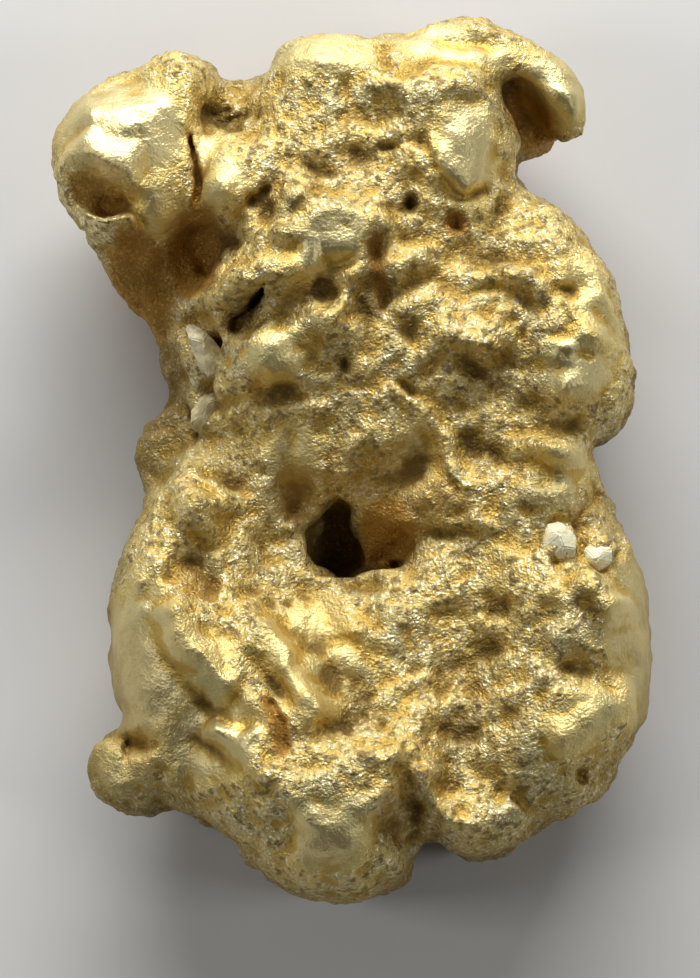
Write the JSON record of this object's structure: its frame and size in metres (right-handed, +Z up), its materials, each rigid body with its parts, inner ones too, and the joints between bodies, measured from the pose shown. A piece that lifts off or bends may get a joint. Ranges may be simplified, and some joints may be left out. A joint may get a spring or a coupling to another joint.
{
  "type": "gold nugget",
  "caption": "Natural water-worn gold nugget with a knobbly, pitted face, a deep hole and small grains of quartz held in its pits. It lies flat on its worn back.",
  "frame": {"origin": "middle of the nugget's footprint, on the surface it rests on", "axes": "+Z up through the rough face, +Y along the nugget towards its head, +X across it to the right"},
  "size_m": [0.0334, 0.0498, 0.0133],
  "materials": {
    "gold": null,
    "milky_quartz": null,
    "grey_quartz": null
  },
  "bodies": {
    "root": {"gold_nugget": "gold", "quartz_grain_large": "milky_quartz", "quartz_grain_small": "milky_quartz", "quartz_sliver_upper": "grey_quartz", "quartz_sliver_lower": "grey_quartz"}
  },
  "joints": []
}
